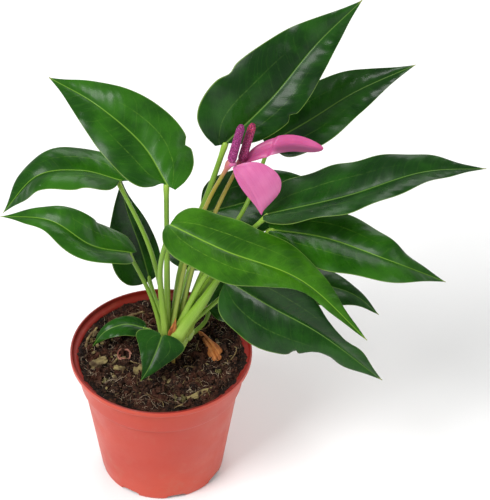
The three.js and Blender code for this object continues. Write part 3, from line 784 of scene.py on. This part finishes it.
def make_flowers():
    peduncle = stem_material("peduncle", srgb(158, 176, 84), srgb(138, 156, 60),
                             srgb(158, 134, 48), srgb(196, 84, 118))
    # Each spathe's last colour is its painted shade.
    spathes = [
        spathe_material("spathe_pink", srgb(214, 120, 170), srgb(202, 100, 154),
                        srgb(186, 68, 128), srgb(206, 104, 156)),
        spathe_material("spathe_mauve", srgb(202, 94, 148), srgb(184, 74, 130),
                        srgb(160, 56, 106), srgb(104, 56, 82)),
    ]
    # Each spadix's second colour is the painted shade in the creases between its berries.
    spikes = [
        spadix_material("spadix_purple", srgb(176, 62, 134), srgb(116, 30, 86), srgb(150, 50, 120)),
        spadix_material("spadix_red", srgb(180, 56, 116), srgb(120, 28, 76), srgb(204, 70, 92)),
    ]
    for spec, spike, spathe in zip(FLOWERS, spikes, spathes):
        name = spec["name"]
        make_spadix(spec, spike)
        make_receptacle(spec, spathe)
        end = from_crown(spec["spadix"][0]) + (0, 0, 0.8)
        make_stem(f"peduncle_{name}", spec, end, peduncle, PEDUNCLE_RADIUS, 0.3)
        make_blade(f"spathe_{name}", [spathe, spathe], "spathe_pink",
                   {**spec, "rib": spec["spathe"]}, spec["margin"], 70, 36, 0.6,
                   ridge=0.3, pucker=0)


# ---- pot
def pot_material(name, lit, deep):
    """Moulded polypropylene with a satin face, faint flow marks and specks of mix."""
    s = Shader(name, deep, IOR=1.45, Coat_Weight=0.05, Coat_Roughness=0.3)
    flow = s.noise(9, 3, 0.5, at=s.stretched(1, 1, 2))
    s.tint(lit, flow, *PATCHES)
    s.tint(deep, s.noise(700, 3), 0.45, 0.8, 0.22)
    low_down = s.span(s.axes(s.place)[2], 0.0, 0.05, 0.35, 0.12)
    s.cover(srgb(176, 112, 88), s.times(s.span(s.noise(60, 5, 0.7), 0.5, 0.7), low_down))
    s.cover(srgb(70, 40, 30), s.times(s.dots(230, 0.03, 0.06, 0.84, 0.86), 0.75))
    scratches = s.noise(900, 2, at=s.stretched(1, 1, 0.12))
    grain = s.bump(s.noise(2200, 2), 0.03, 0.6)
    normal = s.bump(scratches, 0.02, 0.5, s.bump(flow, 0.3, 0.1, grain))
    return s.finish(s.noise(45, 5, 0.65), 0.34, 0.5, normal)


def line_points(start, end, steps):
    """Points on the straight line past start, up to and with end."""
    return [tuple(point) for point in np.linspace(start, end, steps + 1)[1:]]


def offsets(radius, height, steps):
    return [(radius + out, height + up) for out, up in steps]


def pot_profile():
    """The pot's (radius, height) points: from the axis up its outside, then down its inside."""
    bottom = POT_HEIGHT - BAND_HEIGHT
    lip = POT_HEIGHT - LIP_HEIGHT
    outside = [(0, POT_DISH), (8, POT_DISH)]
    outside += offsets(FOOT_RADIUS, 0, [(-6, POT_DISH), (-4.4, 0.05), (-FOOT_ROUNDING, 0)])
    for angle in np.radians((30, 60, 90)):
        outside += offsets(FOOT_RADIUS, FOOT_ROUNDING, [(FOOT_ROUNDING * (math.sin(angle) - 1),
                                                         -FOOT_ROUNDING * math.cos(angle))])
    outside += line_points((FOOT_RADIUS, FOOT_ROUNDING), (BODY_TOP_RADIUS, bottom), 19)
    outside += offsets(BODY_TOP_RADIUS, bottom, [(0.35, 0.12)])
    outside += offsets(BAND_BOTTOM_RADIUS, bottom, [(-0.5, 0.3), (-0.1, 0.6), (0.05, 1.2)])
    outside += line_points(outside[-1], (BAND_TOP_RADIUS, lip - 2), 7)
    outside += offsets(BAND_TOP_RADIUS, lip, [(0.3, -1.3), (1.2, -0.6)])
    outside += offsets(RIM_RADIUS, lip, [(-1.0, -0.1), (-0.3, 0.3), (0, 1), (0, LIP_HEIGHT - 1)])
    inside = offsets(RIM_RADIUS, POT_HEIGHT, [(-0.12, -0.4), (-0.4, -0.1), (-0.8, 0),
                                              (-1.2, -0.12), (-1.45, -0.5), (-1.6, -1.2)])
    inside.append((RIM_RADIUS - 1.8, lip + 2.3))
    inside += [(radius, height) for height, radius in reversed(INNER_WALL)]
    inside += [(BAND_TOP_RADIUS - POT_WALL - 0.45, POT_HEIGHT - 9),
               (BAND_BOTTOM_RADIUS - POT_WALL, bottom + 0.8),
               (BODY_TOP_RADIUS - POT_WALL, bottom - 1.5),
               (FOOT_RADIUS - POT_WALL, FLOOR_THICKNESS), (20, FLOOR_THICKNESS),
               (0, FLOOR_THICKNESS)]
    return outside, inside


def revolve_geometry(profile, segments):
    """A closed lathe from a profile that starts and ends on the axis."""
    angles = np.linspace(0, 2 * math.pi, segments, endpoint=False)
    rings = [np.stack([radius * np.cos(angles), radius * np.sin(angles),
                       np.full(segments, height)], -1) for radius, height in profile[1:-1]]
    count = len(rings) * segments
    ends = np.array([[0, 0, profile[0][1]], [0, 0, profile[-1][1]]], float)
    faces = grid_faces(len(rings), segments, closed=True)
    last = count - segments
    for j in range(segments):
        after = (j + 1) % segments
        faces += [(count, after, j), (count + 1, last + j, last + after)]
    return np.vstack(rings + [ends]), faces


def cut(piece, cutter):
    """Cuts one piece with another, which is removed, and merges what the cut left too small."""
    modifier = piece.modifiers.new("cut", "BOOLEAN")
    modifier.operation = "DIFFERENCE"
    modifier.solver = "EXACT"
    modifier.object = cutter
    graph = bpy.context.evaluated_depsgraph_get()
    mesh = bpy.data.meshes.new_from_object(piece.evaluated_get(graph))
    clean = bmesh.new()
    clean.from_mesh(mesh)
    bmesh.ops.remove_doubles(clean, verts=clean.verts, dist=SMALLEST_EDGE)
    bmesh.ops.dissolve_degenerate(clean, edges=clean.edges, dist=SMALLEST_EDGE)
    clean.to_mesh(mesh)
    clean.free()
    piece.modifiers.clear()
    piece.data = mesh
    bpy.data.objects.remove(cutter)


def make_slots():
    """The solids that cut the drain slots, arched at their tops."""
    half = DRAIN_SLOT_WIDTH / 2
    outline = [(math.cos(part) * half, math.sin(part) ** 0.45 * DRAIN_SLOT_HEIGHT)
               for part in np.linspace(0, math.pi, 9)]
    outline += [(-half, -2), (half, -2)]
    n = len(outline)
    faces = [tuple(range(n))[::-1], tuple(range(n, 2 * n))]
    faces += [(k, (k + 1) % n, n + (k + 1) % n, n + k) for k in range(n)]
    slots = []
    for i in range(DRAIN_SLOTS):
        angle = math.radians(DRAIN_SLOT_TURN + 360 * i / DRAIN_SLOTS)
        out = np.array([math.cos(angle), math.sin(angle), 0])
        along = np.array([-math.sin(angle), math.cos(angle), 0])
        corners = [out * depth + along * x + np.array([0, 0, z])
                   for depth in (FOOT_RADIUS - DRAIN_SLOT_DEPTH, FOOT_RADIUS + 4)
                   for x, z in outline]
        slots.append((np.array(corners), faces))
    return add_mesh("slots", *gather(slots))


def make_pot():
    outside = pot_material("pot_outside", srgb(200, 70, 42), srgb(184, 56, 36))
    # The inside of the pot is the same plastic as the outside, painted darker and redder as painted
    # shade.
    inside = pot_material("pot_inside_painted_shade", srgb(146, 30, 16), srgb(116, 20, 12))
    outer, inner = pot_profile()
    segments = 192
    vertices, faces = revolve_geometry(outer + inner, segments)
    outer_faces = (len(outer) - 1) * segments
    inner_faces = (len(inner) - 2) * segments
    indices = [0] * outer_faces + [1] * inner_faces + [0, 1] * segments
    piece = make_detail("pot", vertices, faces, [outside, inside], "pot_plastic",
                        indices=indices, sharp_angle=40)
    cut(piece, make_slots())


# ---- potting mix
def rough(x, y, z=0.0, scale=1.0, octaves=4):
    """Fractal noise at a point in millimetres, about -1..1."""
    total, size, strength = 0.0, scale, 1.0
    for _ in range(octaves):
        total += strength * noise.noise(Vector((x / size, y / size, z / size)))
        size *= 0.5
        strength *= 0.6
    return total


def mix_surface(x, y):
    """Height of the crumbly surface of the mix, which is heaped up to the pot's wall."""
    radius = math.hypot(x, y)
    even = max(0.3, min(1.0, (55 - radius) / 4))
    heaped = max(0.0, min(1.0, (radius - HEAP_START) / HEAP_WIDTH)) ** 1.5
    hollow = max(0.0, min(1.0, (y - x - 20) / 40))
    coarse = 2.2 * rough(x, y, 3, 16, 2) + 1.6 * rough(x, y, 9, 4.5, 4)
    return soil_height(radius) + (HEAP_HEIGHT - hollow) * heaped + (coarse - 0.2) * even - 0.4


def soil_material(name, dark, light, scale=1.0):
    """Damp mix with painted shade in its hollows, reddish patches and pale specks."""
    s = Shader(name, dark, Specular_IOR_Level=0.12)
    coarse = s.noise(260 * scale, 5, 0.7)
    s.tint(light, coarse, 0.36, 0.62)
    hollows = s.cells(520 * scale)[0]
    # painted shade: nearly black towards the edges of the cells, in the hollows between crumbs
    s.tint(srgb(14, 9, 8), hollows, 0.25, 0.75, 0.7)
    tinge = s.noise(90, 3)
    s.tint(srgb(84, 48, 36), tinge, 0.5, 0.66, 0.5)
    s.tint(srgb(150, 122, 94), s.noise(1500, 2), 0.64, 0.74, 0.7)
    normal = s.bump(coarse, 0.8, 0.8, s.bump(hollows, 0.5, 0.6))
    return s.finish(tinge, 0.72, 0.95, normal)


def fibre_material(name, pale, brown):
    """Roots and bark, from brown to pale, with dark specks."""
    s = Shader(name, brown, Specular_IOR_Level=0.3)
    s.tint(pale, s.noise(160, 3), 0.35, 0.65)
    s.tint(srgb(60, 40, 28), s.noise(2400, 2), 0.5, 0.75, 0.6)
    return s.finish(s.noise(400, 2), 0.6, 0.85, s.bump(s.noise(3000, 2), 0.08, 0.7))


def make_mix(material):
    """The body of mix: a crumbly top, and a plain side and bottom inside the pot."""
    rings = [MIX_RADIUS * part ** 0.85 for part in np.linspace(1, 0.02, 90)]
    profile = MIX_SIDE + [(radius, SOIL_TOP) for radius in rings] + [(0, SOIL_TOP)]
    vertices, faces = revolve_geometry(profile, 260)
    wall_heights, wall_radii = zip(*INNER_WALL)
    for index in np.nonzero(vertices[:, 2] >= SOIL_TOP - 0.01)[0]:
        x, y, _ = vertices[index]
        height = mix_surface(x, y)
        reach = math.hypot(x, y)
        wanted = reach * (1 + 0.06 * (reach / MIX_RADIUS) ** 6)
        wall = np.interp(height, wall_heights, wall_radii) + MIX_INTO_WALL
        spread = min(wanted, wall) / max(reach, 0.01)
        vertices[index] = (x * spread, y * spread, height)
    make_detail("potting_mix", vertices, faces, [material], "potting_mix")


def lump(radius, stretch, wobble):
    """A small irregular clod."""
    ball = bmesh.new()
    bmesh.ops.create_icosphere(ball, subdivisions=2, radius=1)
    points = np.array([vertex.co for vertex in ball.verts])
    faces = [tuple(vertex.index for vertex in face.verts) for face in ball.faces]
    ball.free()
    seed = random.uniform(0, 100)
    swell = np.array([rough(x * 1.3 + seed, y * 1.3, z * 1.3, 1.0, 3) for x, y, z in points])
    return points * (1 + wobble * swell)[:, None] * radius * np.array(stretch), faces


def turned(points, spin, tilt, roll=0.0):
    matrix = (Matrix.Rotation(spin, 3, "Z") @ Matrix.Rotation(tilt, 3, "X")
              @ Matrix.Rotation(roll, 3, "Y"))
    return points @ np.array(matrix).T


def gather(parts):
    """Several (vertices, faces) as one."""
    vertices, faces, count = [], [], 0
    for points, polygons in parts:
        vertices.append(points)
        faces += [tuple(count + k for k in polygon) for polygon in polygons]
        count += len(points)
    return np.vstack(vertices), faces


def free_spot(limit):
    """A random place on the mix, away from the foot of the plant."""
    while True:
        radius = limit * math.sqrt(random.uniform(0, 1))
        angle = random.uniform(0, 2 * math.pi)
        x, y = radius * math.cos(angle), radius * math.sin(angle)
        if math.hypot(x - CROWN[0], y - CROWN[1]) > 7:
            return x, y


def make_heap(name, parts, material, slot, sharp_angle=60):
    """One piece from many small (vertices, faces)."""
    vertices, faces = gather(parts)
    make_piece(name, vertices, faces, [material], slot, sharp_angle=sharp_angle)


def make_crumbs(material):
    parts = []
    for _ in range(1900):
        radius = 0.45 + 2.3 * random.random() ** 5
        x, y = free_spot(55 - 2.2 * radius)
        points, faces = lump(radius, random.uniform(0.7, 1.3, 3), 0.75)
        points = turned(points, random.uniform(0, 6.3), random.uniform(0, 3.1))
        parts.append((points + (x, y, mix_surface(x, y) + radius * 0.3), faces))
    make_heap("mix_crumbs", parts, material, "potting_mix", 45)


def flake(length, width, thickness):
    """A splinter of bark: a rough plate with torn ends."""
    rows, columns = 7, 5
    grid = []
    for face in (1, -1):
        for i in range(rows):
            part = i / (rows - 1)
            torn = width * (0.5 + 0.5 * math.sin(math.pi * (0.12 + 0.76 * part)))
            for j in range(columns):
                across = j / (columns - 1) - 0.5
                jitter = random.normal(0, 0.09, 3) * (width, width, thickness * 2)
                height = face * thickness / 2 * (1 - 2 * across ** 2)
                grid.append(np.array([(part - 0.5) * length, across * torn, height]) + jitter)
    return np.array(grid), sheet_faces(rows, columns)


def make_bark_bits(material):
    parts = []
    for _ in range(64):
        x, y = free_spot(50)
        length = random.uniform(1.5, 5.5)
        points, faces = flake(length, length * random.uniform(0.25, 0.6), random.uniform(0.5, 1.1))
        points = turned(points, random.uniform(0, 6.3), random.normal(0, 0.35),
                        random.normal(0, 0.25))
        parts.append((points + (x, y, mix_surface(x, y) + 0.7), faces))
    make_heap("mix_bark_bits", parts, material, "bark", 35)


def make_fibres(name, material, count, radii, lengths, lift):
    """Curved fibres that lie on the mix, some of them looping up."""
    steps = 6
    parts = []
    for _ in range(count):
        x, y = free_spot(50)
        step_length = random.uniform(*lengths) / steps
        heading = random.uniform(0, 2 * math.pi)
        bend = random.normal(0, 1.9) / steps
        hump = random.uniform(0.2, lift)
        points = []
        for step in range(steps + 1):
            draw = FIBRE_LIMIT / max(FIBRE_LIMIT, math.hypot(x, y))
            rise = 0.5 + hump * math.sin(math.pi * step / steps)
            points.append((x * draw, y * draw, mix_surface(x * draw, y * draw) + rise))
            x += step_length * math.cos(heading)
            y += step_length * math.sin(heading)
            heading += bend + random.normal(0, 0.25)
        radius = random.uniform(*radii)
        vertices, faces, _ = tube_geometry(
            Curve(points), lambda part, size=radius: size * (1 - 0.6 * part ** 2), 6, 20)
        parts.append((vertices, faces))
    make_heap(name, parts, material, "root")


def make_root_loop(material):
    """Two turns of a reddish root that rise out of the mix left of the plant."""
    parts = []
    for radius, start, lift in ((4.6, 0.4, 2.2), (3.4, 2.6, 1.2)):
        points = []
        for angle in np.linspace(start, start + LOOP_TURN, 12):
            x = ROOT_LOOP[0] + radius * math.cos(angle)
            y = ROOT_LOOP[1] + 0.9 * radius * math.sin(angle)
            rise = lift * math.sin((angle - start) / LOOP_TURN * math.pi)
            points.append((x, y, mix_surface(x, y) + 0.4 + rise))
        vertices, faces, _ = tube_geometry(
            Curve(points), lambda part: 0.62 * (1 - 0.4 * part ** 2), 10, 60)
        parts.append((vertices, faces))
    make_heap("mix_root_loop", parts, material, "root")


def make_clods(material):
    """Olive clods of old bark and moss at the front right and along the left."""
    parts = []
    for x, y, radius in CLODS:
        for _ in range(5):
            cx, cy = (x, y) + random.normal(0, radius * 0.7, 2)
            size = radius * random.uniform(0.4, 0.75)
            points, faces = lump(size, random.uniform(0.7, 1.3, 3), 0.9)
            parts.append((points + (cx, cy, mix_surface(cx, cy) + size * 0.35), faces))
    make_heap("mix_clods", parts, material, "potting_mix", 45)


def make_chips(material):
    """The four pale chips that lie on the mix."""
    for number, ((x, y), (length, width, thickness), turn) in enumerate(CHIPS, 1):
        points, faces = flake(length, width * 1.05, thickness * 0.8)
        points = turned(points, math.radians(turn), 0.06)
        height = max(soil_height(math.hypot(x, y) - width), mix_surface(x, y))
        place = (x, y, height + 0.4 + thickness / 2)
        make_detail(f"bark_chip_{number}", points + place, faces, [material], "bark",
                    sharp_angle=35)


def make_roots(material, yellow):
    """The two roots that lie on the mix, and the aerial root under the crown."""
    for node, points, radius in SURFACE_ROOTS:
        route = [(x, y, mix_surface(x, y) + radius + 0.4) for x, y in points]
        phase = random.uniform(0, 6.3)
        vertices, faces, uvs = tube_geometry(
            Curve(route), lambda part, size=radius, turn=phase:
            size * (0.9 + 0.14 * np.sin(part * 21 + turn) - 0.25 * part ** 3), 16, 60)
        wobble = 0.12 * np.sin(vertices[:, 0] * 2.1) + 0.1 * np.sin(vertices[:, 1] * 3.3)
        vertices[:, 2] += wobble * radius
        make_detail(node, vertices, faces, [material], "root", uvs={"tube": uvs})
    foot = soil_height(CROWN[0])
    start = foot + (CROWN[2] - foot) * 0.55
    route = [(CROWN[0] + 0.3, CROWN[1] - reach, height) for reach, height in
             ((8.6, start), (8.4, (start + foot) / 2), (7.8, foot - 0.6))]
    vertices, faces, uvs = tube_geometry(
        Curve(route), lambda part: 1.25 * (1 + 0.12 * np.sin(part * 9) - 0.2 * part), 18, 40)
    make_detail("aerial_root", vertices, faces, [yellow], "root", uvs={"tube": uvs})


# ---- crown and dry sheaths
def papery_material(name, pale, brown):
    """A dry sheath: brown and pale lines along it, and dark stains."""
    s = Shader(name, brown, Specular_IOR_Level=0.35)
    lines = s.lines(*s.map("blade"), 8, 190)
    s.tint(pale, lines, 0.35, 0.65)
    s.tint(srgb(84, 44, 22), s.noise(240, 4), 0.5, 0.72, 0.7)
    normal = s.bump(lines, 0.3, 0.8, s.bump(s.noise(900, 3), 0.1, 0.6))
    return s.finish(s.noise(150, 2), 0.5, 0.75, normal)


def crown_material():
    """Ribbed green bark, brown at its foot and in spots."""
    s = Shader("crown_bark", srgb(92, 84, 44), Specular_IOR_Level=0.35)
    ribs = s.noise(420, 4, 0.6, at=s.stretched(1, 1, 0.2))
    s.tint(srgb(136, 142, 74), ribs, 0.35, 0.65)
    s.tint(srgb(88, 58, 36), s.axes(s.place)[2], 0.094, 0.103, 0, 0.8)
    spots = s.noise(300, 3)
    s.tint(srgb(134, 82, 42), spots, 0.55, 0.7, 0.6)
    return s.finish(spots, 0.5, 0.8, s.bump(ribs, 0.5, 0.9))


def make_crown():
    """The short stem of the plant, lobed where the petioles leave it."""
    base = SOIL_TOP + SOIL_DOME - 1.2
    top = CROWN[2] + 0.4
    levels = np.linspace(0, 1, 34)
    widths = np.interp(levels, (0, 0.4, 0.75, 1), (0.5, 0.64, 0.9, 0.98)) * CROWN_RADIUS
    profile = [(0, base)] + list(zip(widths, base + (top - base) * levels))
    profile += [(CROWN_RADIUS * 0.85, top + 1.0), (CROWN_RADIUS * 0.5, top + 1.4), (0, top + 1.5)]
    vertices, faces = revolve_geometry(profile, 110)
    angle = np.arctan2(vertices[:, 1], vertices[:, 0])
    level = (vertices[:, 2] - base) / (top - base)
    radius, lobes, turn = RINGS["outer"]
    between = 0.5 - 0.5 * np.cos(lobes * (angle - math.radians(turn)))
    ragged = np.array([rough(x, y, z, 4, 3) for x, y, z in vertices])
    swell = 1 - 0.13 * between * np.clip(level, 0, 1) + 0.05 * ragged
    vertices[:, :2] *= swell[:, None]
    vertices += (CROWN[0], CROWN[1], 0)
    make_detail("crown", vertices, faces, [crown_material()], "stem_green")


def make_sheaths():
    """The dry sheath between the stems, and the curled one that fell on the mix."""
    dry = papery_material("dry_sheath", srgb(196, 128, 66), srgb(150, 78, 32))
    make_blade("cataphyll", [dry, dry], "dry_sheath", CATAPHYLL, LEAF_MARGIN, 60, 20, 0.35,
               ridge=0.3, pucker=0)
    rib = [(x, y, soil_height(math.hypot(x, y)) + lift) for x, y, lift in BRACT_RIB]
    make_blade("fallen_bract", [dry, dry], "dry_sheath", {**BRACT, "rib": rib}, BRACT_MARGIN,
               70, 26, 0.4, ridge=0.4, pucker=0, origin=np.zeros(3))


def make_plant():
    make_leaves()
    make_flowers()
    make_crown()
    make_sheaths()


def make_ground():
    """The mix and all that lies on it."""
    bark = fibre_material("bark_bits", srgb(146, 130, 84), srgb(70, 54, 34))
    pale = fibre_material("pale_fibre", srgb(200, 180, 152), srgb(100, 70, 52))
    roots = fibre_material("root_skin", srgb(142, 122, 78), srgb(84, 62, 38))
    make_mix(soil_material("mix_dark", srgb(12, 8, 7), srgb(46, 31, 25)))
    make_crumbs(soil_material("mix_crumb", srgb(20, 13, 11), srgb(84, 56, 42), 1.6))
    make_bark_bits(bark)
    make_fibres("mix_fibres", pale, 460, (0.06, 0.13), (3, 12), 1.4)
    make_fibres("mix_rootlets", roots, 40, (0.2, 0.45), (6, 20), 2.4)
    make_root_loop(fibre_material("red_root_skin", srgb(176, 122, 104), srgb(116, 62, 48)))
    make_clods(soil_material("mix_olive", srgb(58, 52, 28), srgb(138, 130, 82), 1.3))
    make_chips(bark)
    make_roots(roots, fibre_material("aerial_root_skin", srgb(186, 160, 74), srgb(150, 122, 58)))


make_pot()
make_ground()
make_plant()


# ---- floor and light
def make_floor():
    size = 4 / MM
    corners = [(-size, -size, 0), (size, -size, 0), (size, size, 0), (-size, size, 0)]
    floor = add_mesh("floor", corners, [(0, 1, 2, 3)])
    s = Shader("floor_white", (0.93, 0.93, 0.93, 1), Roughness=0.9, Specular_IOR_Level=0.1)
    s.cover((0.95, 0.95, 0.95, 1), s.noise(3, 2))
    s.feed(s.surface.inputs["Base Color"], s.colour)
    floor.data.materials.append(s.material)


def make_light(name, place, target, size, power):
    data = bpy.data.lights.new(name, "AREA")
    data.shape = "RECTANGLE"
    data.size, data.size_y = size
    data.energy = power
    light = add_object(name, data)
    light.location = place
    aim = Vector(target) - Vector(place)
    light.rotation_euler = aim.to_track_quat("-Z", "Y").to_euler()


def make_lighting():
    world = bpy.data.worlds.new("studio")
    world.use_nodes = True
    background = world.node_tree.nodes["Background"]
    background.inputs[0].default_value = (1, 1, 1, 1)
    background.inputs[1].default_value = 0.42
    bpy.context.scene.world = world
    centre = (0.05, 0.0, 0.18)
    make_light("key", (-1.0, -0.9, 1.7), centre, (1.0, 1.0), 40)
    make_light("fill", (1.4, -0.8, 1.2), centre, (1.2, 1.0), 7)
    make_light("back", (0.3, 1.5, 1.6), centre, (1.8, 0.9), 17)


make_floor()
make_lighting()
bpy.context.scene.view_settings.view_transform = "Standard"
